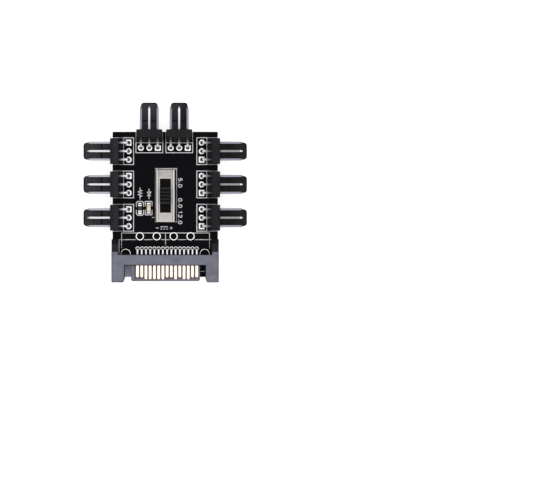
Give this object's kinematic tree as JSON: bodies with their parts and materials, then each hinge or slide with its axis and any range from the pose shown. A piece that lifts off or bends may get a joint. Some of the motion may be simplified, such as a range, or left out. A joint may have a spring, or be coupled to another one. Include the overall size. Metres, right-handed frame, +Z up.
{
  "type": "pc fan controller hub",
  "caption": "Small circuit board that feeds computer fans: three-pin headers round its edge, a blade power plug, a three-position slide switch and an adhesive foam pad.",
  "frame": {"origin": "middle of the release liner's underside, the face that the hub rests on and is stuck down by", "axes": "+Z up, away from the mounting face; +Y along the board, from the power plug to the two end headers; +X across it, to the right as seen from above"},
  "size_m": [0.0492, 0.054, 0.0126],
  "materials": {
    "liner": "smooth siliconised paper, satin",
    "foam": "closed-cell foam, matt",
    "board": "glass-fibre laminate under black solder mask, satin",
    "header_plastic": "glass-filled nylon, fine matt",
    "tinned_metal": "tin-plated, bright",
    "plug_plastic": "glass-filled polymer, fine matt",
    "contact_metal": "gold-plated, bright",
    "switch_sheet": "tin-plated sheet, satin and speckled",
    "switch_insulator": "phenolic laminate, matt",
    "terminal_metal": "silver-plated brass",
    "knob_plastic": "moulded, satin",
    "led_carrier": "white carrier with plated ends",
    "led_lens": "cast resin, milky yellow",
    "resistor_body": "glazed black film on ceramic, plated ends"
  },
  "bodies": {
    "hub": {"release_liner": "liner", "foam_pad": "foam", "circuit_board": "board", "power_plug_housing": "plug_plastic", "board_lock_left": "tinned_metal", "board_lock_right": "tinned_metal", "switch_case": "switch_sheet", "switch_base": "switch_insulator", "switch_terminals_left": "terminal_metal", "switch_terminals_right": "terminal_metal", "status_led_base": "led_carrier", "status_led_lens": "led_lens", "chip_resistor": "resistor_body", "fan_header_1_housing": "header_plastic", "fan_header_1_pins": "tinned_metal", "fan_header_2_housing": "header_plastic", "fan_header_2_pins": "tinned_metal", "fan_header_3_housing": "header_plastic", "fan_header_3_pins": "tinned_metal", "fan_header_4_housing": "header_plastic", "fan_header_4_pins": "tinned_metal", "fan_header_5_housing": "header_plastic", "fan_header_5_pins": "tinned_metal", "fan_header_6_housing": "header_plastic", "fan_header_6_pins": "tinned_metal", "fan_header_7_housing": "header_plastic", "fan_header_7_pins": "tinned_metal", "fan_header_8_housing": "header_plastic", "fan_header_8_pins": "tinned_metal", "power_contact_1": "contact_metal", "power_contact_2": "contact_metal", "power_contact_3": "contact_metal", "power_contact_4": "contact_metal", "power_contact_5": "contact_metal", "power_contact_6": "contact_metal", "power_contact_7": "contact_metal", "power_contact_8": "contact_metal", "power_contact_9": "contact_metal", "power_contact_10": "contact_metal", "power_contact_11": "contact_metal", "power_contact_12": "contact_metal", "power_contact_13": "contact_metal", "power_contact_14": "contact_metal", "power_contact_15": "contact_metal"},
    "switch_slider": {"switch_slider": "knob_plastic", "switch_clip_left": "terminal_metal", "switch_clip_right": "terminal_metal"}
  },
  "joints": [
    {"name": "switch_slide", "type": "slide", "parent": "hub", "child": "switch_slider", "axis": [0, 1, 0], "range_m": [-0.0025, 0.0025]}
  ]
}
